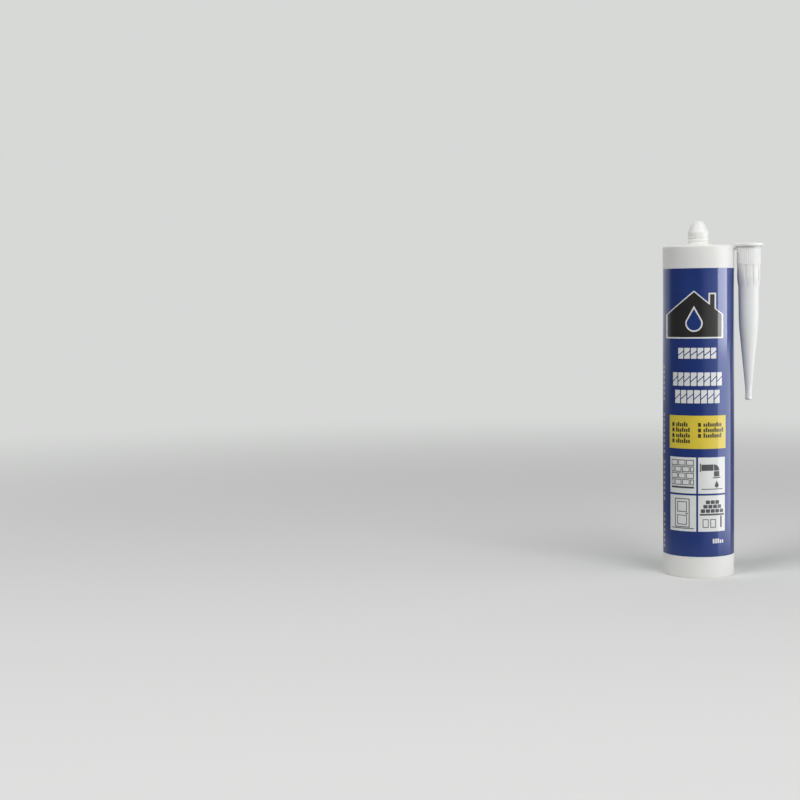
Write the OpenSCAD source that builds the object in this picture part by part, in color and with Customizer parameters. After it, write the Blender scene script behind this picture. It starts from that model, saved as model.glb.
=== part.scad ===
/* [Barrel] */
// Height of the barrel from its rear rim to the face of its head
barrel_h = 224; // [216:1:260]
// Outside diameter of the barrel's wall
barrel_d = 47.8; // [44:0.1:52]
// Thickness of the barrel's wall
barrel_wall = 1.2; // [0.9:0.1:1.8]
// Thickness of the head that closes the front of the barrel
head_t = 2.2; // [1.6:0.1:3]
// Radius of the rounded edge round the head
head_edge = 1.3; // [0.5:0.1:2]
// Depth of the ring-shaped recess in the face of the head
head_recess = 0.6; // [0.2:0.1:1]
// Width of the flat land that is left outside that recess
head_land = 3; // [2:0.5:5]
// Radius of the rounded corner inside the head
cavity_edge = 1.2; // [0.4:0.1:2]
// Radius of the rounded outer edge of the rear rim
rim_edge = 0.4; // [0.2:0.1:0.6]
// Depth of the wider mouth at the rear end
mouth_l = 6; // [4:0.5:10]
// How much larger than the bore's radius the mouth's radius is
mouth_step = 0.3; // [0.1:0.1:0.5]

/* [Outlet] */
// Diameter of the outlet's stem over its thread
outlet_d = 13.8; // [12:0.1:16]
// Length of the stem up to its taper
outlet_l = 9; // [7:0.5:12]
// Length of the taper above the stem
taper_l = 5; // [4:0.5:8]
// Radius of the soft bend between the stem and the taper
taper_bend = 8; // [4:0.5:12]
// Diameter of the closed tip where its round end begins
tip_d = 9.6; // [8:0.1:11]
// Thickness of the outlet's wall
outlet_wall = 1.6; // [1.2:0.1:2.2]
// Thickness of the ring at the foot of the outlet
ring_t = 1.2; // [0.8:0.1:2]
// How far that ring stands out from the stem
ring_w = 1.3; // [0.8:0.1:2]

/* [Label] */
// Distance from the rear rim to the lower edge of the label
label_low = 14.5; // [12:0.5:20]
// Distance from the upper edge of the label to the face of the head
label_high = 15.5; // [10:0.5:18]
// Thickness of the printed film
film_t = 0.1; // [0.05:0.01:0.2]
// Width of the strip where the film's ends overlap at the back
seam_w = 6; // [4:0.5:10]
// How far the overlapping end is trimmed inside the film's edges
seam_trim = 0.5; // [0.3:0.1:2]
// Thickness of a printed field
ink_t = 0.05; // [0.03:0.01:0.1]
// Turn of the printed side away from the front, in degrees
art_turn = -2; // [-10:1:10]

/* [Print] */
// Width and height of each of the four pale tiles
tile = [19.8, 24.4]; // [15:0.1:25]
// Gap between the tiles
tile_gap = 1.3; // [1:0.1:2]
// Blank height under the tiles
tile_low = 17.2; // [10:0.5:20]
// Width and height of the yellow panel
panel = [42.3, 22.3]; // [18:0.1:45]
// Blank height between the tiles and the panel
panel_gap = 5.8; // [3:0.1:8]
// Height of each row of word blocks, from the lowest up
row_h = [8.9, 9, 7.3]; // [6:0.1:10]
// Number of blocks in each row
row_n = [7, 8, 6]; // [4:1:9]
// Width of a block in each row
block_w = [3.9, 3.8, 3.8]; // [3:0.1:4.5]
// Blank height under each row
row_gap = [8.3, 2.8, 9.2]; // [2:0.1:10]
// Gap between two word blocks
block_gap = 0.7; // [0.4:0.1:1]
// Width and height of the emblem
emblem = [38, 32]; // [28:0.5:42]
// How far the emblem sits to the right of the middle
emblem_side = -2; // [-4:0.5:4]
// Blank height between the top row of blocks and the emblem
emblem_gap = 6.2; // [3:0.1:8]
// Width of the emblem's pale outline
emblem_line = 1; // [0.6:0.1:1.5]

/* [Piston] */
// Distance from the rear rim to the back of the piston
piston_back = 24; // [15:1:40]
// Height of the piston
piston_h = 24; // [18:1:30]
// Thickness of the piston's skirt
skirt_t = 1.4; // [1:0.1:2]
// Thickness of the piston's front wall
front_t = 1.8; // [1.2:0.1:3]
// Gap between the piston's lips and the bore
piston_gap = 0.05; // [0.02:0.01:0.1]
// Depth of the waist between the lips
waist = 0.6; // [0.3:0.1:0.9]
// Height of each sealing lip
lip_h = 2; // [1.5:0.1:3]
// Diameter of the hub inside the piston
hub_d = 11; // [8:0.5:16]
// Number of stiffening ribs inside the piston
ribs = 8; // [4:1:12]
// Thickness of a stiffening rib
rib_t = 1.2; // [0.8:0.1:2]
// How far the ribs and the hub stay inside the piston's rear edge
rib_recess = 4; // [2:0.5:8]

/* [Nozzle] */
// Length of the nozzle
nozzle_l = 106; // [95:1:120]
// Diameter of the flange at the nozzle's mouth
flange_d = 18.8; // [17:0.1:24]
// Thickness of the flange
flange_t = 2.1; // [1.2:0.1:3]
// Gap between the flange and the barrel
flange_gap = 0.3; // [0.3:0.1:2]
// How far the flange stands above the face of the head
nozzle_rise = 1.1; // [0:0.1:2]
// Length of the collar with its flange
collar_l = 14.7; // [12.8:0.1:18]
// Thickness of the collar's wall
collar_wall = 0.8; // [0.6:0.1:1.5]
// Height of a grip rib on the collar
grip_h = 0.15; // [0.1:0.05:0.4]
// Number of grip ribs
grips = 36; // [24:2:48]
// Gap between the outlet's stem and the nozzle's socket
socket_gap = 0.1; // [0.05:0.05:0.3]
// Depth of the socket
socket_l = 12; // [9:0.5:12.5]
// Thickness of the nozzle's wall below the socket
nozzle_wall = 1; // [0.8:0.1:1.3]
// Diameter of the body where it leaves the collar
body_d = 14.3; // [13.8:0.1:15]
// Distance from the mouth to the knee where the long taper begins
knee_l = 54; // [44:1:62]
// Diameter at the knee
knee_d = 13.3; // [11:0.1:13.7]
// Radius of the soft bend at the knee
knee_bend = 150; // [50:10:250]
// Diameter of the narrow neck under the tip
neck_d = 4.3; // [4:0.1:6]
// Length of the neck with the closed bead
neck_l = 6.5; // [6:0.5:12]
// Diameter of the closed bead at the tip
bead_d = 4.6; // [4.4:0.1:7]
// Radius of the rounded edge of the bead's flat end
bead_edge = 1; // [0.6:0.1:2]
// Length of the fins under the collar
fin_l = 14.8; // [10:0.1:20]
// How much lower than the collar a fin is
fin_step = 0.1; // [0.05:0.05:0.4]
// Length over which a fin keeps that height
fin_level = 8.8; // [5:0.1:9.5]
// Width of a fin at the collar
fin_t = 3.8; // [1.2:0.1:4]
// Width of a fin where it runs out
fin_end_t = 3.2; // [0.6:0.1:3.8]
// Number of fins
fins = 10; // [6:1:12]
// Turn of the fins away from the front, in degrees
fin_turn = 2; // [-18:1:18]
// Width of the bridge that holds the nozzle to the barrel
bridge_w = 5; // [3:0.5:7]
// Height of that bridge
bridge_h = 2; // [1:0.1:4]

/* [Hidden] */
$fn = 128;
barrel_r = barrel_d / 2;
bore_r = barrel_r - barrel_wall;
mouth_r = bore_r + mouth_step;
outlet_r = outlet_d / 2;
tip_r = tip_d / 2;
taper_a = atan((outlet_r - tip_r) / taper_l);
ring_r = outlet_r + ring_w;
cavity_top = barrel_h - head_t;
taper_z = barrel_h + outlet_l;
tip_z = taper_z + taper_l;
outlet_top = tip_z + tip_r;

label_r = barrel_r + film_t;
label_h = barrel_h - label_low - label_high;
// Ink is bedded this far into the film, so that both are one solid
ink_bed = film_t / 2;
panel_foot = tile_low + 2 * tile.y + tile_gap + panel_gap;
emblem_foot = row_foot(len(row_h) - 1) + row_h[len(row_h) - 1] + emblem_gap;

piston_front = piston_back + piston_h;
lip_r = bore_r - piston_gap;
waist_r = lip_r - waist;
skirt_in = waist_r - skirt_t;
hub_r = hub_d / 2;

nozzle_z = barrel_h + nozzle_rise;
flange_r = flange_d / 2;
nozzle_x = barrel_r + flange_gap + flange_r;
socket_r = outlet_r + socket_gap;
collar_r = socket_r + collar_wall;
knee_r = knee_d / 2;
neck_r = neck_d / 2;
bead_r = bead_d / 2;
body_r = body_d / 2;
// Radius of the body at the depth where the fins run out
fin_end_r = body_r - (body_r - knee_r) * fin_l / (knee_l - collar_l);
bridge_z = barrel_h - head_edge - bridge_h;

// Space inside the barrel that the sealant and the piston share
module cavity_profile() {
    square([bore_r - cavity_edge, cavity_top]);
    square([bore_r, cavity_top - cavity_edge]);
    translate([bore_r - cavity_edge, cavity_top - cavity_edge]) circle(cavity_edge);
    stem_profile(outlet_wall, 0);
}

// Points of a round corner at b, on the way from a to c
function bend(a, b, c, radius, steps = 6) =
    let (u = (a - b) / norm(a - b), v = (c - b) / norm(c - b), half = acos(u * v) / 2,
        centre = b + (u + v) / norm(u + v) * radius / sin(half),
        first = b + u * radius / tan(half) - centre,
        last = b + v * radius / tan(half) - centre,
        turn = atan2(cross(first, last), first * last))
    [for (i = [0 : steps])
        let (w = turn * i / steps)
        centre + [first.x * cos(w) - first.y * sin(w), first.x * sin(w) + first.y * cos(w)]];

// Half outline of the outlet, drawn in by a wall thickness
module stem_profile(inset, low) {
    foot = [outlet_r - inset, low];
    shoulder = [outlet_r - inset, taper_z];
    top = [tip_r - inset, tip_z];
    cap_r = top.x / cos(taper_a);
    polygon(concat([[0, low], foot], bend(foot, shoulder, top, taper_bend), [top, [0, tip_z]]));
    intersection() {
        translate([0, tip_z - cap_r * sin(taper_a)]) circle(cap_r);
        translate([0, tip_z]) square([tip_r, tip_r]);
    }
}

module barrel_profile() {
    difference() {
        union() {
            translate([0, rim_edge]) square([barrel_r, barrel_h - head_edge - rim_edge]);
            square([barrel_r - rim_edge, barrel_h - head_edge]);
            translate([barrel_r - rim_edge, rim_edge]) circle(rim_edge);
            square([barrel_r - head_edge, barrel_h]);
            translate([barrel_r - head_edge, barrel_h - head_edge]) circle(head_edge);
        }
        // Recess in the face of the head
        translate([0, barrel_h - head_recess])
            square([barrel_r - head_edge - head_land, head_recess + 1]);
    }
    // Ring and stem of the outlet
    translate([0, barrel_h - head_t]) square([ring_r, head_t + ring_t]);
    stem_profile(0, cavity_top);
}

module barrel() {
    color("whitesmoke") rotate_extrude() difference() {
        barrel_profile();
        cavity_profile();
        translate([0, -1]) square([mouth_r, mouth_l + 1]);
    }
}

// A printed field on the film: left edge and width along the film, foot and height
module field(left, width, foot, height) {
    turn = (left / label_r) * 180 / PI;
    spread = (width / label_r) * 180 / PI;
    rotate([0, 0, turn - 90]) rotate_extrude(angle = spread)
        translate([label_r - ink_bed, label_low + foot])
            square([ink_bed + ink_t, height]);
}

// Outline of the emblem: a plain house with a chimney, drawn in by a margin
module house(inset) {
    w = emblem.x / 2 - inset;
    eaves = emblem.y * 0.5;
    polygon([[-w, eaves], [-w, inset], [w, inset], [w, eaves], [0, emblem.y - inset]]);
    translate([emblem.x * 0.25 + inset, eaves])
        square([emblem.x * 0.13 - 2 * inset, emblem.y * 0.45 - inset]);
}

// A round drop that stays blank in the middle of the emblem
module drop(grow) {
    r = emblem.y * 0.15 + grow;
    translate([0, emblem.y * 0.32]) {
        circle(r);
        polygon([[-r * 0.87, r * 0.5], [r * 0.87, r * 0.5], [0, r * 2]]);
    }
}

// A flat shape pressed straight back onto the front of the film
module on_film(foot, layer) {
    intersection() {
        rotate_extrude() translate([label_r - ink_bed, label_low])
            square([ink_bed + layer * ink_t, label_h]);
        translate([emblem_side, 0, label_low + foot]) rotate([90, 0, 0])
            linear_extrude(label_r + 1) children();
    }
}

// Height of the foot of row i of the word blocks above the label's lower edge
function row_foot(i) = row_gap[i] + (i == 0 ? panel_foot + panel.y : row_foot(i - 1) + row_h[i - 1]);

module word_row(i) {
    step = block_w[i] + block_gap;
    left = -(row_n[i] * step - block_gap) / 2;
    for (k = [0 : row_n[i] - 1]) field(left + k * step, block_w[i], row_foot(i), row_h[i]);
}

module label() {
    seam_a = (seam_w / label_r) * 180 / PI;
    rotate([0, 0, art_turn]) {
        color("midnightblue") {
            rotate_extrude() translate([barrel_r, label_low]) square([film_t, label_h]);
            rotate([0, 0, 90 - seam_a / 2]) rotate_extrude(angle = seam_a)
                translate([label_r - ink_bed, label_low + seam_trim])
                    square([ink_bed + film_t, label_h - 2 * seam_trim]);
        }
        color("ghostwhite") {
            for (side = [0, 1], level = [0, 1])
                field(tile_gap / 2 - side * (tile.x + tile_gap), tile.x,
                    tile_low + level * (tile.y + tile_gap), tile.y);
            for (i = [0 : len(row_h) - 1]) word_row(i);
            on_film(emblem_foot, 1) difference() {
                house(0);
                drop(0);
            }
        }
        color("gold") field(-panel.x / 2, panel.x, panel_foot, panel.y);
        color("black") on_film(emblem_foot, 2) difference() {
            house(emblem_line);
            drop(emblem_line);
        }
    }
}

module piston_profile() {
    difference() {
        union() {
            square([waist_r, piston_h]);
            translate([0, piston_h - lip_h - cavity_edge]) square([lip_r, lip_h]);
            square([lip_r, lip_h]);
        }
        translate([0, -1]) square([skirt_in, piston_h - front_t + 1]);
    }
}

module piston() {
    color("lightgray") translate([0, 0, piston_back]) {
        rotate_extrude() piston_profile();
        translate([0, 0, rib_recess]) {
            difference() {
                cylinder(h = piston_h - rib_recess - front_t / 2, r = hub_r);
                translate([0, 0, -1]) cylinder(h = piston_h - rib_recess - front_t + 1, r = hub_r - rib_t);
            }
            for (i = [0 : ribs - 1]) rotate([0, 0, i * 360 / ribs])
                translate([hub_r - rib_t / 2, -rib_t / 2, 0])
                    cube([skirt_in - hub_r + rib_t, rib_t, piston_h - rib_recess - front_t / 2]);
        }
    }
}

module sealant() {
    color("white") rotate_extrude() intersection() {
        cavity_profile();
        translate([0, piston_front]) square([bore_r, outlet_top - piston_front]);
    }
}

// Points of the nozzle's outline from under the collar to the neck, drawn in by a wall
// thickness; depths are counted from the mouth, and the knee is a soft bend
function taper_points(inset) =
    let (top = [body_r - inset, collar_l], knee = [knee_r - inset, knee_l],
        neck = [neck_r - inset, nozzle_l - neck_l])
    concat([top], bend(top, knee, neck, knee_bend), [neck]);

module nozzle_outline() {
    mirror([0, 1]) {
        square([flange_r, flange_t]);
        square([collar_r, collar_l]);
        polygon(concat([[0, 0], [body_r, 0]], taper_points(0),
            [[neck_r, nozzle_l - bead_r], [0, nozzle_l - bead_r]]));
        // Closed bead with a rounded edge round its flat end
        translate([0, nozzle_l - bead_r]) intersection() {
            union() {
                square([bead_r, bead_r - bead_edge]);
                square([bead_r - bead_edge, bead_r]);
                translate([bead_r - bead_edge, bead_r - bead_edge]) circle(bead_edge);
            }
            square([bead_r, bead_r]);
        }
    }
}

// Socket for the outlet's stem, and the passage that narrows to the closed tip
module nozzle_hollow() {
    mirror([0, 1]) {
        translate([0, -1]) square([socket_r, socket_l + 1]);
        polygon(concat([[0, socket_l - 1], [body_r - nozzle_wall, socket_l - 1]],
            taper_points(nozzle_wall), [[neck_r - nozzle_wall, nozzle_l - bead_d],
            [0, nozzle_l - bead_d]]));
    }
}

// A broad fin that is nearly level with the collar, and slopes down to nothing on the body
module fin() {
    half_a = asin(fin_t / 2 / body_r);
    top_r = collar_r - fin_step;
    intersection() {
        rotate([0, 0, -half_a]) rotate_extrude(angle = 2 * half_a) mirror([0, 1])
            polygon([[body_r - nozzle_wall / 2, collar_l - 1], [top_r, collar_l - 1],
                [top_r, collar_l + fin_level], [fin_end_r, collar_l + fin_l],
                [fin_end_r - nozzle_wall / 2, collar_l + fin_l]]);
        rotate([90, 0, 90]) linear_extrude(flange_r) mirror([0, 1])
            polygon([[-fin_t / 2, collar_l - 2], [fin_t / 2, collar_l - 2],
                [fin_end_t / 2, collar_l + fin_l + 1], [-fin_end_t / 2, collar_l + fin_l + 1]]);
    }
}

module nozzle() {
    color("whitesmoke") difference() {
        union() {
            translate([nozzle_x, 0, nozzle_z]) {
                rotate_extrude() nozzle_outline();
                translate([0, 0, -collar_l]) linear_extrude(collar_l - flange_t / 2)
                    for (i = [0 : grips - 1]) rotate(i * 360 / grips)
                        translate([collar_r, 0]) circle(grip_h, $fn = 6);
                for (i = [0 : fins - 1]) rotate([0, 0, i * 360 / fins - 90 + fin_turn]) fin();
            }
            // Bridge to the barrel, broken when the nozzle is taken off
            translate([0, -bridge_w / 2, bridge_z]) cube([nozzle_x - socket_r, bridge_w, bridge_h]);
        }
        translate([nozzle_x, 0, nozzle_z]) rotate_extrude() nozzle_hollow();
        cylinder(h = barrel_h + flange_t + nozzle_rise, r = barrel_r);
    }
}

barrel();
label();
piston();
sealant();
nozzle();
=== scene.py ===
from math import asin, atan2, cos, hypot, pi, radians, sin

import bmesh
import bpy
from mathutils import Euler, Matrix, Vector


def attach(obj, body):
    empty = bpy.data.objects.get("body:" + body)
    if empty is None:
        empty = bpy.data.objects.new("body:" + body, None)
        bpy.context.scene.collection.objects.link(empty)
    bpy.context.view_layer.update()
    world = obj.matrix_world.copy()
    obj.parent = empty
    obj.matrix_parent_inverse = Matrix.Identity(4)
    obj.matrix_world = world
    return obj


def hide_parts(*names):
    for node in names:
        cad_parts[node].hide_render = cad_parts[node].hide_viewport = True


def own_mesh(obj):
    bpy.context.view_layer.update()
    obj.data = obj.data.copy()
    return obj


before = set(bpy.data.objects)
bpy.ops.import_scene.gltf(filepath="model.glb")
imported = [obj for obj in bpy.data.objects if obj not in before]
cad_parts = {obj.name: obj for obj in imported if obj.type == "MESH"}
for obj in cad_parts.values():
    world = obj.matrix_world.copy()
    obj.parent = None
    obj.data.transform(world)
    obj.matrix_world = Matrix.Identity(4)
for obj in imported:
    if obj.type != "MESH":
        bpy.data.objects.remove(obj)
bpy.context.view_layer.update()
scene = bpy.context.scene
scene.view_settings.view_transform = "Standard"

# Camera. It stands a little over a metre in front of the tube, just under the level of the
# nozzle's mouth, and looks past the tube's left side, which leaves the tube near the right
# edge of the picture.
camera_place = (0, -1.0871, 0.18926)
camera_lens, camera_sensor = 70.37, 36
turned_left, tipped_down, rolled = 10.823, 3.628, -0.7315

camera = bpy.data.objects.new("camera", bpy.data.cameras.new("camera"))
scene.collection.objects.link(camera)
scene.camera = camera
camera.data.sensor_width = camera_sensor
camera.data.lens = camera_lens
camera.location = camera_place
aim = Euler((radians(90 - tipped_down), 0, radians(turned_left)), "XYZ").to_matrix()
camera.rotation_euler = (aim @ Matrix.Rotation(radians(rolled), 3, "Z")).to_euler()

# Floor. A wide, pale, matt disc that takes the tube's shadow and fades into the plain tone
# behind it. For all rays but the camera's it is a small table top that ends close to the tube.
# A hole inside the rear rim lets light into the open end, and from underneath it doesn't show.
floor_colour, floor_seen = (0.50, 0.50, 0.49, 1), (0.72, 0.725, 0.715, 1)
background_tone = (0.68, 0.69, 0.68, 1)
floor_radius, hole_radius, floor_steps, floor_rough = 2.6, 0.0235, 96, 0.80
fade_near, fade_far = 0.25, 1.5
edge_near, edge_far = 0.05, 0.30

bm = bmesh.new()
bmesh.ops.create_circle(bm, segments=floor_steps, radius=hole_radius)
bmesh.ops.create_circle(bm, segments=floor_steps, radius=floor_radius)
bmesh.ops.bridge_loops(bm, edges=bm.edges[:])
bmesh.ops.recalc_face_normals(bm, faces=bm.faces[:])
if bm.faces[:][0].normal.z < 0:
    bmesh.ops.reverse_faces(bm, faces=bm.faces[:])
floor_mesh = bpy.data.meshes.new("floor")
bm.to_mesh(floor_mesh)
bm.free()
floor = bpy.data.objects.new("floor", floor_mesh)
scene.collection.objects.link(floor)

floor_paint = bpy.data.materials.new("matt floor")
floor_paint.use_nodes = True
nodes, links = floor_paint.node_tree.nodes, floor_paint.node_tree.links
nodes.clear()
place = nodes.new("ShaderNodeTexCoord")
reach = nodes.new("ShaderNodeVectorMath")
reach.operation = "LENGTH"
links.new(place.outputs["Object"], reach.inputs[0])
ray = nodes.new("ShaderNodeLightPath")
fades = []
for near, far in ((edge_near, edge_far), (fade_near, fade_far)):
    fade = nodes.new("ShaderNodeMapRange")
    fade.interpolation_type = "SMOOTHSTEP"
    fade.inputs["From Min"].default_value = near
    fade.inputs["From Max"].default_value = far
    links.new(reach.outputs["Value"], fade.inputs["Value"])
    fades.append(fade.outputs["Result"])
gone = nodes.new("ShaderNodeMix")
links.new(ray.outputs["Is Camera Ray"], gone.inputs["Factor"])
links.new(fades[0], gone.inputs["A"])
links.new(fades[1], gone.inputs["B"])
matt = nodes.new("ShaderNodeBsdfPrincipled")
matt.inputs["Roughness"].default_value = floor_rough
matt.inputs["Specular IOR Level"].default_value = 0.0
plain = nodes.new("ShaderNodeEmission")
plain.inputs["Color"].default_value = background_tone
unseen = nodes.new("ShaderNodeBsdfTransparent")
paint = nodes.new("ShaderNodeMix")
paint.data_type = "RGBA"
paint.inputs["A"].default_value = floor_colour
paint.inputs["B"].default_value = floor_seen
links.new(ray.outputs["Is Camera Ray"], paint.inputs["Factor"])
links.new(paint.outputs["Result"], matt.inputs["Base Color"])
far = nodes.new("ShaderNodeMixShader")
links.new(ray.outputs["Is Camera Ray"], far.inputs["Fac"])
links.new(unseen.outputs["BSDF"], far.inputs[1])
links.new(plain.outputs["Emission"], far.inputs[2])
blend = nodes.new("ShaderNodeMixShader")
links.new(gone.outputs["Result"], blend.inputs["Fac"])
links.new(matt.outputs["BSDF"], blend.inputs[1])
links.new(far.outputs["Shader"], blend.inputs[2])
side = nodes.new("ShaderNodeNewGeometry")
sided = nodes.new("ShaderNodeMixShader")
links.new(side.outputs["Backfacing"], sided.inputs["Fac"])
links.new(blend.outputs["Shader"], sided.inputs[1])
links.new(unseen.outputs["BSDF"], sided.inputs[2])
out = nodes.new("ShaderNodeOutputMaterial")
links.new(sided.outputs["Shader"], out.inputs["Surface"])
floor_mesh.materials.append(floor_paint)

# Light. Two long soft boxes at the right, the lower one reaching below the table top, give the
# bright band down the film. Two large ones, high at the left and the right, fill the rest, and
# one below lights the open rear end. The room is pale behind the tube and dim in front of it.
room_back, room_front = (0.80, 0.81, 0.82, 1), (0.12, 0.12, 0.12, 1)
room_right = (0.60, 0.60, 0.59, 1)
pale_side, pale_from, pale_full = (-0.31, 0.95, 0), 0.40, 0.68
right_side, right_from, right_full = (0.766, -0.643, 0), 0.70, 1.0
horizon_from, horizon_full = -0.10, 0.0
tube_middle = (0, 0, 0.12)


def soft_box(name, place, aim_at, width, height, radiance):
    """A rectangular lamp that faces a point and has a given brightness."""
    lamp = bpy.data.lights.new(name, "AREA")
    lamp.shape = "RECTANGLE"
    lamp.size, lamp.size_y = width, height
    lamp.energy = radiance * pi * width * height
    box = bpy.data.objects.new(name, lamp)
    box.location = place
    box.rotation_euler = (Vector(aim_at) - Vector(place)).to_track_quat("-Z", "Y").to_euler()
    box.visible_camera = False
    scene.collection.objects.link(box)


soft_box("window_light", place=(1.4, -0.145, 0.26), aim_at=(0, -0.145, 0.26),
         width=1.015, height=0.30, radiance=6.9)
soft_box("sill_light", place=(1.41, 0.175, -0.10), aim_at=(0, 0.175, -0.10),
         width=1.655, height=0.42, radiance=2.2)
soft_box("rear_light", place=(0, 0, -0.6), aim_at=(0, 0, 0), width=0.6, height=0.6, radiance=1.6)
soft_box("left_fill", place=(-1.0, -1.2, 1.6), aim_at=tube_middle,
         width=1.0, height=1.0, radiance=6.4)
soft_box("front_fill", place=(0.9, -1.2, 1.6), aim_at=tube_middle,
         width=1.2, height=1.2, radiance=4.5)

room = bpy.data.worlds.new("room")
scene.world = room
room.use_nodes = True
nodes, links = room.node_tree.nodes, room.node_tree.links
nodes.clear()
place = nodes.new("ShaderNodeTexCoord")
height = nodes.new("ShaderNodeSeparateXYZ")
links.new(place.outputs["Generated"], height.inputs["Vector"])


def share_of(value, low, high):
    """A smooth share from 0 to 1 as a value goes from low to high."""
    rise = nodes.new("ShaderNodeMapRange")
    rise.interpolation_type = "SMOOTHSTEP"
    rise.inputs["From Min"].default_value = low
    rise.inputs["From Max"].default_value = high
    links.new(value, rise.inputs["Value"])
    return rise.outputs["Result"]


def share_towards(side, low, high):
    """A smooth share that grows towards one side of the room."""
    towards = nodes.new("ShaderNodeVectorMath")
    towards.operation = "DOT_PRODUCT"
    links.new(place.outputs["Generated"], towards.inputs[0])
    towards.inputs[1].default_value = side
    return share_of(towards.outputs["Value"], low, high)


share = nodes.new("ShaderNodeMath")
share.operation = "MULTIPLY"
links.new(share_towards(pale_side, pale_from, pale_full), share.inputs[0])
links.new(share_of(height.outputs["Z"], horizon_from, horizon_full), share.inputs[1])
front = nodes.new("ShaderNodeMix")
front.data_type = "RGBA"
front.inputs["A"].default_value = room_front
front.inputs["B"].default_value = room_right
links.new(share_towards(right_side, right_from, right_full), front.inputs["Factor"])
walls = nodes.new("ShaderNodeMix")
walls.data_type = "RGBA"
walls.inputs["B"].default_value = room_back
links.new(front.outputs["Result"], walls.inputs["A"])
links.new(share.outputs["Value"], walls.inputs["Factor"])
glow = nodes.new("ShaderNodeBackground")
links.new(walls.outputs["Result"], glow.inputs["Color"])
seen = nodes.new("ShaderNodeBackground")
seen.inputs["Color"].default_value = background_tone
ray = nodes.new("ShaderNodeLightPath")
pick = nodes.new("ShaderNodeMixShader")
links.new(ray.outputs["Is Camera Ray"], pick.inputs["Fac"])
links.new(glow.outputs["Background"], pick.inputs[1])
links.new(seen.outputs["Background"], pick.inputs[2])
out = nodes.new("ShaderNodeOutputWorld")
links.new(pick.outputs["Shader"], out.inputs["Surface"])

# Barrel. An extruded and moulded polyethylene tube with a closed head, a screw thread on its
# outlet and an open rear end. It is one piece, turned here from its half outline, with the
# thread pressed into the stem.
MM = 0.001
barrel_r, bore_r, mouth_r = 23.9, 22.7, 23.0
mouth_l, mouth_slope, head_z, head_under = 6, 0.2, 224, 221.8
outlet_r, ring_r, ring_top, taper_z, outlet_top = 6.9, 8.2, 225.2, 233, 241.19
outlet_in, outlet_under, tip_r, tip_in = 5.3, 240.13, 3.46, 2.31
recess_r, recess_z = 19.6, 223.4
head_edge, cavity_edge, rim_edge, small_edge, tip_edge = 1.3, 1.2, 0.4, 0.2, 3.4
thread_low, thread_high, thread_pitch, thread_depth = 225.6, 231.0, 2.5, 0.22
thread_flank, thread_end = 0.14, 0.6
row_gap, turn_steps, corner_steps = 0.2, 256, 6


def turned(outline, steps=turn_steps):
    """Spins a half outline about the Z axis; each point is (radius, height, corner size)."""
    bm = bmesh.new()
    verts = [bm.verts.new((r, 0, z)) for r, z, _ in outline]
    for a, b in zip(verts, verts[1:]):
        bm.edges.new((a, b))
    for vert, (_, _, corner) in zip(verts, outline):
        if corner:
            bmesh.ops.bevel(bm, geom=[vert], offset=corner, offset_type="OFFSET",
                            segments=corner_steps, profile=0.5, affect="VERTICES",
                            material=-1, clamp_overlap=False)
    bmesh.ops.spin(bm, geom=bm.verts[:] + bm.edges[:], cent=(0, 0, 0), axis=(0, 0, 1),
                   angle=2 * pi, steps=steps, use_merge=True)
    bmesh.ops.remove_doubles(bm, verts=bm.verts[:], dist=1e-4)
    bmesh.ops.recalc_face_normals(bm, faces=bm.faces[:])
    return bm


def finished(name, bm, material, body, node=None, crease=32, even=True):
    """Scales a mesh from millimetres, shades it and lets it ride on its body."""
    bmesh.ops.scale(bm, vec=(MM, MM, MM), verts=bm.verts[:])
    mesh = bpy.data.meshes.new(name)
    bm.to_mesh(mesh)
    bm.free()
    mesh.shade_smooth()
    mesh.set_sharp_from_angle(angle=radians(crease))
    mesh.materials.append(material)
    piece = bpy.data.objects.new(name, mesh)
    scene.collection.objects.link(piece)
    if even:
        weighted = piece.modifiers.new("even shading", "WEIGHTED_NORMAL")
        weighted.keep_sharp = True
    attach(piece, body)
    if node:
        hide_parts(node)
    return piece


def eased(share):
    """A share that is kept from 0 to 1, with a soft start and a soft end."""
    share = min(1, max(0, share))
    return share * share * (3 - 2 * share)


def thread_share(angle, height, low, high, pitch):
    """How deep the groove of a right-handed thread is at a point, from 0 to 1."""
    turn = ((height - low) / pitch - angle / (2 * pi)) % 1
    ends = min(1, max(0, min(height - low, high - height) / thread_end))
    return (1 - eased((abs(turn - 0.5) - thread_flank) / thread_flank)) * ends


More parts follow.
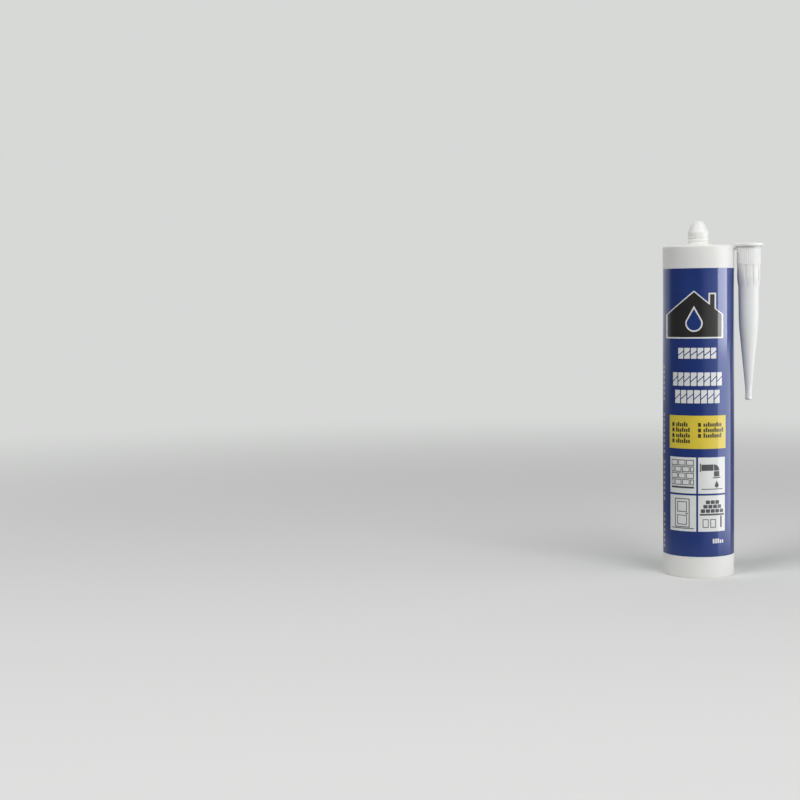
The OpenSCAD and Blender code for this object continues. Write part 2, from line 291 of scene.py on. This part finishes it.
def moulded(name, tone, other_tone, rough, grain=60, skin=0.02, soft=0.0, soft_reach=0.002):
    """Moulded plastic: two close tones that drift, uneven gloss and a faint skin."""
    material = bpy.data.materials.new(name)
    material.use_nodes = True
    nodes, links = material.node_tree.nodes, material.node_tree.links
    shader = nodes["Principled BSDF"]
    shader.inputs["IOR"].default_value = 1.5
    if soft:
        shader.inputs["Subsurface Weight"].default_value = soft
        shader.inputs["Subsurface Radius"].default_value = (1, 0.9, 0.8)
        shader.inputs["Subsurface Scale"].default_value = soft_reach
    place = nodes.new("ShaderNodeTexCoord")
    drift = nodes.new("ShaderNodeTexNoise")
    drift.inputs["Scale"].default_value = grain
    drift.inputs["Detail"].default_value = 3
    links.new(place.outputs["Object"], drift.inputs["Vector"])
    tones = nodes.new("ShaderNodeValToRGB")
    tones.color_ramp.elements[0].position = 0.35
    tones.color_ramp.elements[0].color = (*other_tone, 1)
    tones.color_ramp.elements[1].position = 0.65
    tones.color_ramp.elements[1].color = (*tone, 1)
    links.new(drift.outputs["Fac"], tones.inputs["Fac"])
    links.new(tones.outputs["Color"], shader.inputs["Base Color"])
    gloss = nodes.new("ShaderNodeMapRange")
    gloss.inputs["From Min"].default_value = 0.3
    gloss.inputs["From Max"].default_value = 0.7
    gloss.inputs["To Min"].default_value = rough[0]
    gloss.inputs["To Max"].default_value = rough[1]
    links.new(drift.outputs["Fac"], gloss.inputs["Value"])
    links.new(gloss.outputs["Result"], shader.inputs["Roughness"])
    pores = nodes.new("ShaderNodeTexNoise")
    pores.inputs["Scale"].default_value = grain * 25
    pores.inputs["Detail"].default_value = 2
    links.new(place.outputs["Object"], pores.inputs["Vector"])
    bump = nodes.new("ShaderNodeBump")
    bump.inputs["Strength"].default_value = skin
    bump.inputs["Distance"].default_value = 0.0003
    links.new(pores.outputs["Fac"], bump.inputs["Height"])
    links.new(bump.outputs["Normal"], shader.inputs["Normal"])
    return material


barrel_plastic = moulded("white polyethylene", (0.84, 0.84, 0.82), (0.81, 0.81, 0.785),
                         (0.36, 0.46), grain=40, skin=0.08, soft=0.2, soft_reach=0.003)
stem_rows = [taper_z - 0.4 - row_gap * i
             for i in range(int((taper_z - 0.4 - ring_top - 0.2) / row_gap))]
bm = turned(
    [(0, outlet_top, 0), (tip_r, outlet_top, tip_edge), (outlet_r, taper_z, 0.3)]
    + [(outlet_r, z, 0) for z in stem_rows]
    + [(outlet_r, ring_top, 0.12), (ring_r, ring_top, 0.3), (ring_r, recess_z, 0.12),
       (recess_r, recess_z, small_edge), (recess_r, head_z, small_edge),
       (barrel_r, head_z, head_edge), (barrel_r, 0, rim_edge), (mouth_r, 0, small_edge),
       (mouth_r, mouth_l - mouth_slope, 0), (bore_r, mouth_l, 0),
       (bore_r, head_under, cavity_edge), (outlet_in, head_under, 0.4),
       (outlet_in, taper_z, 0.8), (tip_in, outlet_under, 2.2), (0, outlet_under, 0)])
for vert in bm.verts:
    r = hypot(vert.co.x, vert.co.y)
    if abs(r - outlet_r) < 0.02 and thread_low < vert.co.z < thread_high:
        cut = thread_depth * thread_share(atan2(vert.co.y, vert.co.x), vert.co.z,
                                          thread_low, thread_high, thread_pitch)
        vert.co.x *= 1 - cut / r
        vert.co.y *= 1 - cut / r
finished("barrel_shell", bm, barrel_plastic, "barrel", "barrel")

# Label film. A thin printed plastic film, dark blue, wrapped once round the barrel and glued
# where its ends overlap at the back.
film_t, film_low, film_high = 0.1, 14.5, 208.5
film_r = barrel_r + film_t
film_columns, film_rows = 264, 4
print_turn = -2
overlap, ramp = 6, 1.6
film_start = pi * film_r - overlap / 2


def wrapped(bm, radius_of, straight=False):
    """Bends a flat mesh round the barrel; Z of the flat mesh is the height over the film."""
    for vert in bm.verts:
        side, up, lift = vert.co
        radius = radius_of(side) + lift
        angle = asin(side / radius) if straight else side / film_r
        angle += radians(print_turn - 90)
        vert.co = (radius * cos(angle), radius * sin(angle), film_low + up)


bm = bmesh.new()
film_length = 2 * pi * film_r + overlap
bmesh.ops.create_grid(bm, x_segments=film_columns, y_segments=film_rows, size=0.5)
bmesh.ops.scale(bm, vec=(film_length, film_high - film_low, 1), verts=bm.verts[:])
bmesh.ops.translate(bm, vec=(film_start + overlap - film_length / 2,
                             (film_high - film_low) / 2, -film_t), verts=bm.verts[:])
back = bmesh.ops.extrude_face_region(bm, geom=bm.faces[:])
bmesh.ops.translate(bm, vec=(0, 0, film_t),
                    verts=[v for v in back["geom"] if isinstance(v, bmesh.types.BMVert)])


def film_radius(side):
    """Radius of the film's outer face, which climbs over its own end at the overlap."""
    return film_r + film_t * eased((side - (film_start - ramp)) / ramp)


wrapped(bm, film_radius)
bmesh.ops.recalc_face_normals(bm, faces=bm.faces[:])


def film_print(name, tone, other_tone):
    """Ink with a slight haze under the film's clear gloss."""
    material = moulded(name, tone, other_tone, (0.42, 0.50), grain=90, skin=0.01)
    shader = material.node_tree.nodes["Principled BSDF"]
    shader.inputs["Coat Weight"].default_value = 1.0
    shader.inputs["Coat Roughness"].default_value = 0.09
    shader.inputs["Coat IOR"].default_value = 1.5
    shader.inputs["Specular IOR Level"].default_value = 0.35
    return material


blue_ink = film_print("dark blue film", (0.007, 0.036, 0.215), (0.006, 0.032, 0.195))
blue_ink.node_tree.nodes["Principled BSDF"].inputs["Metallic"].default_value = 0.25
finished("label_film", bm, blue_ink, "barrel", "label")

# Print. The pale tiles, the yellow panel, the emblem and the rows of blocks are inks on the
# film; each colour is one very thin layer that is cut flat and then bent round the barrel.
ink_t, stamp_steps = 0.02, 3
under_lift, over_lift = 0.03, 0.06


def stamp(bm, points, corner=0.0):
    """Adds a closed outline to a flat print, with rounded corners."""
    verts = [bm.verts.new((x, y, 0)) for x, y in points]
    for a, b in zip(verts, verts[1:] + verts[:1]):
        bm.edges.new((a, b))
    if corner:
        bmesh.ops.bevel(bm, geom=verts, offset=corner, offset_type="OFFSET",
                        segments=stamp_steps, profile=0.5, affect="VERTICES", material=-1,
                        clamp_overlap=True)


def bar(bm, left, foot, width, height, corner=0.0):
    """Adds a rectangle to a flat print."""
    stamp(bm, [(left, foot), (left + width, foot), (left + width, foot + height),
               (left, foot + height)], corner)


def inked(name, bm, lift, material, straight=False):
    """Fills the outlines, cuts them into narrow strips, thickens them and bends them."""
    bmesh.ops.triangle_fill(bm, use_beauty=True, use_dissolve=False, edges=bm.edges[:],
                            normal=(0, 0, 1))
    low = min(v.co.x for v in bm.verts)
    high = max(v.co.x for v in bm.verts)
    for i in range(1, int(high - low) + 1):
        bmesh.ops.bisect_plane(bm, geom=bm.verts[:] + bm.edges[:] + bm.faces[:],
                               plane_co=(low + i, 0, 0), plane_no=(1, 0, 0))
    bmesh.ops.translate(bm, vec=(0, 0, lift - ink_t), verts=bm.verts[:])
    top = bmesh.ops.extrude_face_region(bm, geom=bm.faces[:])
    bmesh.ops.translate(bm, vec=(0, 0, ink_t),
                        verts=[v for v in top["geom"] if isinstance(v, bmesh.types.BMVert)])
    wrapped(bm, lambda side: film_r, straight)
    bmesh.ops.recalc_face_normals(bm, faces=bm.faces[:])
    finished(name, bm, material, "barrel", crease=20, even=False)


white_ink = film_print("white ink", (0.78, 0.80, 0.80), (0.75, 0.77, 0.77))
yellow_ink = film_print("yellow ink", (0.76, 0.60, 0.055), (0.73, 0.57, 0.048))
black_ink = film_print("black ink", (0.012, 0.012, 0.011), (0.009, 0.009, 0.009))
line_ink = film_print("dark grey ink", (0.075, 0.08, 0.085), (0.06, 0.065, 0.07))
panel_ink = film_print("brown black ink", (0.05, 0.04, 0.015), (0.04, 0.032, 0.012))

tile_w, tile_h, tile_gap, tile_low = 19.8, 24.4, 1.3, 17.2
panel_w, panel_h, panel_foot = 42.3, 22.3, 73.1
row_foot, row_h = (103.7, 115.4, 133.6), (8.9, 9, 7.3)
row_n, block_w, block_gap, block_corner = (7, 8, 6), (3.9, 3.8, 3.8), 0.7, 0.35
slit, slit_low, slit_high = 0.8, 0.36, 0.74


def block(bm, left, foot, width, height):
    """Adds one plain block of a row, cut in two by a rising slit."""
    right, top = left + width, foot + height
    low, high = foot + height * slit_low, foot + height * slit_high
    stamp(bm, [(left, foot), (right, foot), (right, high - slit), (left, low - slit)],
          block_corner)
    stamp(bm, [(left, low), (right, high), (right, top), (left, top)], block_corner)


bm = bmesh.new()
for column in (0, 1):
    for level in (0, 1):
        bar(bm, tile_gap / 2 - column * (tile_w + tile_gap),
            tile_low + level * (tile_h + tile_gap), tile_w, tile_h)
for foot, height, count, width in zip(row_foot, row_h, row_n, block_w):
    pitch = width + block_gap
    left = -(count * pitch - block_gap) / 2
    for i in range(count):
        block(bm, left + i * pitch, foot, width, height)
# Small mark at the lower right
mark_left, mark_foot, mark_pitch, mark_w = 10.6, 9.1, 1.75, 1.25
for i, tall in enumerate((3.1, 3.1, 3.1, 2.3, 2.3)):
    bar(bm, mark_left + i * mark_pitch, mark_foot, mark_w, tall, 0.2)
inked("print_white", bm, under_lift, white_ink)

bm = bmesh.new()
bar(bm, -panel_w / 2, panel_foot, panel_w, panel_h)
inked("print_yellow", bm, under_lift, yellow_ink)

# Emblem, a black house with a blank drop, over its own pale edge
emblem_w, emblem_h, emblem_side, emblem_foot, outline_w = 38, 32, -2, 147.1, 1.0


def house(bm, inset):
    """Adds the outline of the house with its chimney, drawn in by a margin."""
    half, eaves, ridge = emblem_w / 2 - inset, emblem_h * 0.5, emblem_h - inset
    chimney_l, chimney_r = emblem_w * 0.25 + inset, emblem_w * 0.38 - inset
    chimney_top = emblem_h * 0.95 - inset
    slope = (ridge - eaves) / half

    def roof(x):
        return ridge - slope * abs(x)

    stamp(bm, [(emblem_side + x, emblem_foot + y) for x, y in
               [(-half, inset), (half, inset), (half, eaves), (chimney_r, roof(chimney_r)),
                (chimney_r, chimney_top), (chimney_l, chimney_top),
                (chimney_l, roof(chimney_l)), (0, ridge), (-half, eaves)]], block_corner)


def drop(bm, grow):
    """Adds the outline of the round drop that stays blank in the emblem."""
    r = emblem_h * 0.15 + grow
    arc = [(r * cos(radians(a)), r * sin(radians(a))) for a in range(165, 376, 15)]
    stamp(bm, [(emblem_side + x, emblem_foot + emblem_h * 0.32 + y)
               for x, y in [(0, r * 2)] + arc])


bm = bmesh.new()
house(bm, 0)
drop(bm, 0)
inked("print_emblem_edge", bm, under_lift, white_ink, straight=True)
bm = bmesh.new()
house(bm, outline_w)
drop(bm, outline_w)
inked("print_emblem", bm, over_lift, black_ink, straight=True)

# Two columns of rows in the yellow panel, each a square and a run of narrow bars of two heights
top_row, row_pitch, square_w, square_h = panel_foot + 14.9, 3.7, 2.0, 2.6
bar_pitch, bar_w, bar_h, bar_extra = 1.5, 1.1, 2.2, 0.9
bm = bmesh.new()
for square_x, bars_x, counts, period, tall_one in ((-18.4, -15.0, (6, 7, 7, 7), 3, 1),
                                                   (0.6, 4.2, (9, 10, 9), 4, 2)):
    for row, count in enumerate(counts):
        y = top_row - row * row_pitch
        bar(bm, square_x, y, square_w, square_h, 0.2)
        for i in range(count):
            extra = bar_extra if (i + row) % period == tall_one else 0
            bar(bm, bars_x + i * bar_pitch, y, bar_w, bar_h + extra, 0.15)
inked("print_panel_rows", bm, over_lift, panel_ink)

# Marks up the left side, in runs with a gap between them
side_left, side_right, side_foot, side_pitch, side_h = -31.4, -27.8, 4, 3.6, 2.3
side_places, side_gaps = 35, (7, 8, 17, 26, 27)
grey_ink = film_print("grey ink", (0.34, 0.36, 0.42), (0.3, 0.32, 0.38))
bm = bmesh.new()
for i in range(side_places):
    if i not in side_gaps:
        bar(bm, side_left, side_foot + i * side_pitch, side_right - side_left, side_h, 0.3)
inked("print_side_marks", bm, under_lift, grey_ink)

# Tile drawings. Plain signs for where the paste is used, a tiled wall, a pipe elbow, a door and
# a roof with its gutter, drawn with dark grey lines on the four tiles.
line_w = 0.55


def line(bm, x0, y0, x1, y1):
    """Adds a straight line to a flat print."""
    length = hypot(x1 - x0, y1 - y0)
    ax, ay = (y0 - y1) / length * line_w / 2, (x1 - x0) / length * line_w / 2
    stamp(bm, [(x0 - ax, y0 - ay), (x1 - ax, y1 - ay), (x1 + ax, y1 + ay), (x0 + ax, y0 + ay)])


def frame_line(bm, left, foot, width, height, thick=0.5):
    """Adds the outline of a rectangle, a plate with a hole in it, to a flat print."""
    bar(bm, left, foot, width, height)
    bar(bm, left + thick, foot + thick, width - 2 * thick, height - 2 * thick)


left_x, right_x = -tile_gap / 2 - tile_w, tile_gap / 2
upper_y, lower_y = tile_low + tile_h + tile_gap, tile_low
bm = bmesh.new()
# Tiled wall with a bead of paste along its foot
wall_left, wall_right, wall_foot = left_x + 1.4, left_x + 18.4, upper_y + 5.6
brick_w, brick_h, brick_gap = 5.3, 3.9, 0.5
for row in range(4):
    start = wall_left if row % 2 else wall_left - (brick_w + brick_gap) / 2
    for k in range(4):
        a = max(wall_left, start + k * (brick_w + brick_gap))
        b = min(wall_right, start + k * (brick_w + brick_gap) + brick_w)
        if b - a > 1.5:
            frame_line(bm, a, wall_foot + row * (brick_h + brick_gap), b - a, brick_h)
bar(bm, wall_left, upper_y + 3.4, wall_right - wall_left, 1.3, 0.4)
# Pipe elbow with a drop
bend_x, bend_y, pipe_w = right_x + 10.8, upper_y + 15.4, 4.2
bar(bm, right_x + 2.2, bend_y, 8.2, pipe_w, 0.2)
bar(bm, right_x + 1.2, bend_y - 0.8, 0.7, 5.8, 0.2)
stamp(bm, [(bend_x, bend_y + pipe_w)]
      + [(bend_x + pipe_w * sin(radians(a)), bend_y + pipe_w * cos(radians(a)))
         for a in range(10, 91, 10)] + [(bend_x, bend_y)])
bar(bm, bend_x, upper_y + 11.4, pipe_w, 3.6, 0.2)
bar(bm, bend_x - 0.8, upper_y + 10.3, 5.8, 0.7, 0.2)
drop_x, drop_y, drop_r = bend_x + pipe_w / 2, upper_y + 5.4, 1.5
stamp(bm, [(drop_x, drop_y + 3.2)]
      + [(drop_x + drop_r * cos(radians(a)), drop_y + drop_r * sin(radians(a)))
         for a in range(150, 391, 20)])
line(bm, right_x + 2.2, upper_y + 3.0, right_x + 17.6, upper_y + 3.0)
# Door in its frame
frame_line(bm, left_x + 4.4, lower_y + 2.6, 11.0, 19.6, 0.6)
frame_line(bm, left_x + 6.3, lower_y + 13.0, 7.2, 7.2)
frame_line(bm, left_x + 6.3, lower_y + 4.4, 7.2, 6.6)
bar(bm, left_x + 12.6, lower_y + 11.6, 1.5, 0.9, 0.2)
line(bm, left_x + 1.6, lower_y + 2.0, left_x + 18.2, lower_y + 2.0)
# Roof in courses of shingles, with its gutter and down pipe
shingle_w, shingle_h, shingle_gap = 2.9, 2.5, 0.45
roof_x, roof_y = right_x + 10.12, lower_y + 18.6
for course in range(3):
    count = 3 + course
    for k in range(count):
        bar(bm, roof_x + (k - count / 2) * (shingle_w + shingle_gap),
            roof_y - course * (shingle_h + shingle_gap), shingle_w, shingle_h, 0.5)
bar(bm, right_x + 1.0, lower_y + 10.9, 17.8, 1.2, 0.4)
bar(bm, right_x + 15.6, lower_y + 2.6, 1.3, 7.9, 0.3)
for k in range(2):
    frame_line(bm, right_x + 3.0 + k * 5.2, lower_y + 2.6, 4.0, 5.8)
inked("print_tile_drawings", bm, over_lift, line_ink)

# Piston. A cup of natural polyethylene, pressed into the open end, with a sealing lip at each
# end of its skirt, a plain front and a ribbed hub behind it. The gun's disc pushes on it.
piston_back, piston_front = 24, 48
lip_r, lip_h, lip_edge, waist_r, skirt_in = 22.65, 2, 0.3, 22.05, 20.65
front_lip, front_under = 46.8, 46.2
hub_out, hub_in, hub_steps, hub_edge = 5.5, 4.3, 96, 0.3
rib_foot, rib_top, rib_t, rib_bury, ribs = 28, 46.3, 1.2, 0.5, 8

natural_plastic = moulded("natural polyethylene", (0.78, 0.78, 0.75), (0.73, 0.73, 0.70),
                          (0.40, 0.52), grain=70, skin=0.15)
bm = turned(
    [(0, piston_front, 0), (waist_r, piston_front, 0.5), (waist_r, front_lip, 0.1),
     (lip_r, front_lip, lip_edge), (lip_r, front_lip - lip_h, lip_edge),
     (waist_r, front_lip - lip_h, 0.15), (waist_r, piston_back + lip_h, 0.15),
     (lip_r, piston_back + lip_h, lip_edge), (lip_r, piston_back, lip_edge),
     (skirt_in, piston_back, 0.4), (skirt_in, front_under, 0.8), (0, front_under, 0)])
hub = bmesh.new()
corners = [hub.verts.new(point) for point in
           [(hub_in, 0, rib_top), (hub_in, 0, rib_foot), (hub_out, 0, rib_foot),
            (hub_out, 0, rib_top)]]
for a, b in zip(corners, corners[1:] + corners[:1]):
    hub.edges.new((a, b))
bmesh.ops.bevel(hub, geom=corners[1:3], offset=hub_edge, offset_type="OFFSET", segments=4,
                profile=0.5, affect="VERTICES", material=-1, clamp_overlap=False)
bmesh.ops.spin(hub, geom=hub.verts[:] + hub.edges[:], cent=(0, 0, 0), axis=(0, 0, 1),
               angle=2 * pi, steps=hub_steps, use_merge=True)
rib = bmesh.ops.create_cube(hub, size=1)["verts"]
bmesh.ops.scale(hub, vec=(skirt_in - hub_out + 2 * rib_bury, rib_t, rib_top - rib_foot),
                verts=rib)
bmesh.ops.translate(hub, vec=((skirt_in + hub_out) / 2, 0, (rib_top + rib_foot) / 2),
                    verts=rib)
low_edges = [e for e in hub.edges if all(v in rib for v in e.verts)
             and all(v.co.z < rib_foot + 0.01 for v in e.verts)
             and abs(e.verts[0].co.y - e.verts[1].co.y) < 0.01]
rounded = bmesh.ops.bevel(hub, geom=low_edges, offset=hub_edge, offset_type="OFFSET",
                          segments=4, profile=0.5, affect="EDGES", material=-1)
whole_rib = {v for f in rounded["faces"] for v in f.verts}
for _ in range(4):
    whole_rib |= {e.other_vert(v) for v in list(whole_rib) for e in v.link_edges}
rib_parts = list(whole_rib) + list({e for v in whole_rib for e in v.link_edges}) \
    + list({f for v in whole_rib for f in v.link_faces})
for k in range(1, ribs):
    copy = bmesh.ops.duplicate(hub, geom=rib_parts)
    bmesh.ops.rotate(hub, cent=(0, 0, 0), matrix=Matrix.Rotation(2 * pi * k / ribs, 3, "Z"),
                     verts=[g for g in copy["geom"] if isinstance(g, bmesh.types.BMVert)])
bmesh.ops.recalc_face_normals(hub, faces=hub.faces[:])
hub_mesh = bpy.data.meshes.new("hub")
hub.to_mesh(hub_mesh)
hub.free()
bm.from_mesh(hub_mesh)
bpy.data.meshes.remove(hub_mesh)
finished("piston_cup", bm, natural_plastic, "piston", "piston")

# Sealant. The white paste that fills the barrel in front of the piston and the outlet's inside.
# The piston squeezes it out, so it flattens towards the head.
paste_low, paste_gap = 48.03, 0.03
paste = moulded("white paste", (0.84, 0.84, 0.82), (0.80, 0.80, 0.78), (0.22, 0.34),
                grain=50, skin=0.25)
bm = turned(
    [(0, outlet_under - paste_gap, 0), (tip_in - paste_gap, outlet_under - paste_gap, 2.1),
     (outlet_in - paste_gap, taper_z, 0.8), (outlet_in - paste_gap, head_under, 0.4),
     (bore_r - paste_gap, head_under - paste_gap, cavity_edge),
     (bore_r - paste_gap, paste_low, 0.3), (0, paste_low, 0)])
piece = finished("sealant_fill", bm, paste, "barrel", "sealant", even=False)
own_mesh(piece)

# Nozzle. A long tapered cone of polyethylene, moulded with the barrel and held beside its head
# by a small bridge, mouth up and closed at the tip. It has a flange, grip ribs and a thread in
# its collar, and ten broad fins under it that run out on the cone.
nozzle_x, nozzle_z = 33.6, 225.1
flange_r, flange_t, collar_r, collar_l = 9.4, 2.1, 7.8, 14.7
socket_r, socket_l, body_r, passage_r, nozzle_wall = 7.0, 12.0, 7.15, 6.15, 1
knee_r, knee_l, knee_bend, neck_r, neck_l, neck_bend = 6.65, 54, 6.4, 2.15, 99.5, 2
bead_r, bead_l, nozzle_l, passage_l = 2.3, 103.7, 106, 101.4
tip_rings, tip_ring_h = (100.6, 101.7, 102.8), 0.09
grip_top, grip_middle, grip_foot, grip_h, grips = 2.8, 8, 14.3, 0.15, 36
socket_thread_low, socket_thread_high, socket_thread_depth = -10.8, -1.4, 0.35
fin_l, fin_level, fin_top, fin_w, fin_end_w, fins, fin_turn = 14.8, 8.8, 7.7, 3.8, 3.2, 10, -88
fin_flank, fin_row_gap, socket_row_gap, nozzle_steps = 0.35, 0.4, 0.25, 360

cone_plastic = moulded("soft white polyethylene", (0.88, 0.88, 0.87), (0.86, 0.86, 0.85),
                       (0.34, 0.44), grain=60, skin=0.05, soft=0.5, soft_reach=0.0015)
cone_plastic.node_tree.nodes["Principled BSDF"].inputs["Specular IOR Level"].default_value = 0.3


def body_radius(t):
    """Radius of the body at a depth under the mouth, from the collar to the knee."""
    return body_r - (body_r - knee_r) * (t - collar_l) / (knee_l - collar_l)


fin_rows = [(body_radius(t), -t, 0) for t in [collar_l + fin_row_gap * i for i in range(1, 40)]]
ring_rows = [point for t in tip_rings for point in
             ((neck_r, 0.3 - t, 0), (neck_r + tip_ring_h, 0.08 - t, 0),
              (neck_r + tip_ring_h, -0.08 - t, 0), (neck_r, -0.3 - t, 0))]
thread_rows = [(socket_r, -(1.2 + socket_row_gap * i), 0) for i in range(40)]
bm = turned(
    [(0, -nozzle_l, 0), (bead_r, -nozzle_l, 1.0), (bead_r, -bead_l, 0.08),
     (neck_r, 0.15 - bead_l, 0)] + ring_rows[::-1]
    + [(neck_r, -neck_l, neck_bend), (knee_r, -knee_l, knee_bend)] + fin_rows[::-1]
    + [(body_r, -collar_l, 0), (collar_r, -collar_l, 0.12), (collar_r, -grip_foot, 0),
       (collar_r, -grip_middle, 0), (collar_r, -grip_top, 0), (collar_r, -flange_t, 0.15),
       (flange_r, -flange_t, 0.5), (flange_r, 0, 0.5), (socket_r, 0, 0.35)]
    + thread_rows
    + [(socket_r, -socket_l, 0), (passage_r, -socket_l, 0.2), (passage_r, -collar_l, 0),
       (knee_r - nozzle_wall, -knee_l, knee_bend), (neck_r - nozzle_wall, -neck_l, neck_bend),
       (neck_r - nozzle_wall, -passage_l, 0), (0, -passage_l, 0)], steps=nozzle_steps)
for vert in bm.verts:
    r = hypot(vert.co.x, vert.co.y)
    t = -vert.co.z
    angle = atan2(vert.co.y, vert.co.x)
    grow = 0
    if abs(r - collar_r) < 0.01 and grip_top - 0.1 < t < grip_foot + 0.1:
        grow = grip_h * max(0, cos(grips * angle)) ** 1.5
    elif collar_l - 0.01 < t < collar_l + fin_l and abs(r - body_radius(t)) < 0.01:
        share = (t - collar_l) / fin_l
        slope = max(0, t - collar_l - fin_level) / (fin_l - fin_level)
        tall = (fin_top - r) * (1 - slope)
        half = (fin_w - (fin_w - fin_end_w) * share) / 2
        step = 2 * pi / fins
        off = ((angle - radians(fin_turn) + step / 2) % step - step / 2) * r
        grow = tall * eased((half - abs(off)) / fin_flank + 0.5)
    elif abs(r - socket_r) < 0.01 and socket_thread_low < -t < socket_thread_high:
        grow = socket_thread_depth * thread_share(angle, -t, socket_thread_low,
                                                  socket_thread_high, thread_pitch)
    if grow:
        vert.co.x *= 1 + grow / r
        vert.co.y *= 1 + grow / r
bmesh.ops.translate(bm, vec=(nozzle_x, 0, nozzle_z), verts=bm.verts[:])
# Bridge, thinner where it breaks off the barrel
bridge_l, bridge_w, bridge_h, bridge_end, bridge_z = 2.45, 5, 2, 26.2, 221.7
thin_w, thin_h = 0.7, 0.6
bridge = bmesh.ops.create_cube(bm, size=1)["verts"]
bmesh.ops.scale(bm, vec=(bridge_l, bridge_w, bridge_h), verts=bridge)
bmesh.ops.translate(bm, vec=(bridge_end - bridge_l / 2, 0, bridge_z), verts=bridge)
for vert in bridge:
    if vert.co.x < bridge_end - 1:
        vert.co.y *= thin_w
        vert.co.z = bridge_z + (vert.co.z - bridge_z) * thin_h
bmesh.ops.bevel(bm, geom=[e for e in bm.edges if all(v in bridge for v in e.verts)],
                offset=0.25, offset_type="OFFSET", segments=3, profile=0.5, affect="EDGES",
                material=-1)
finished("nozzle_cone", bm, cone_plastic, "barrel", "nozzle")
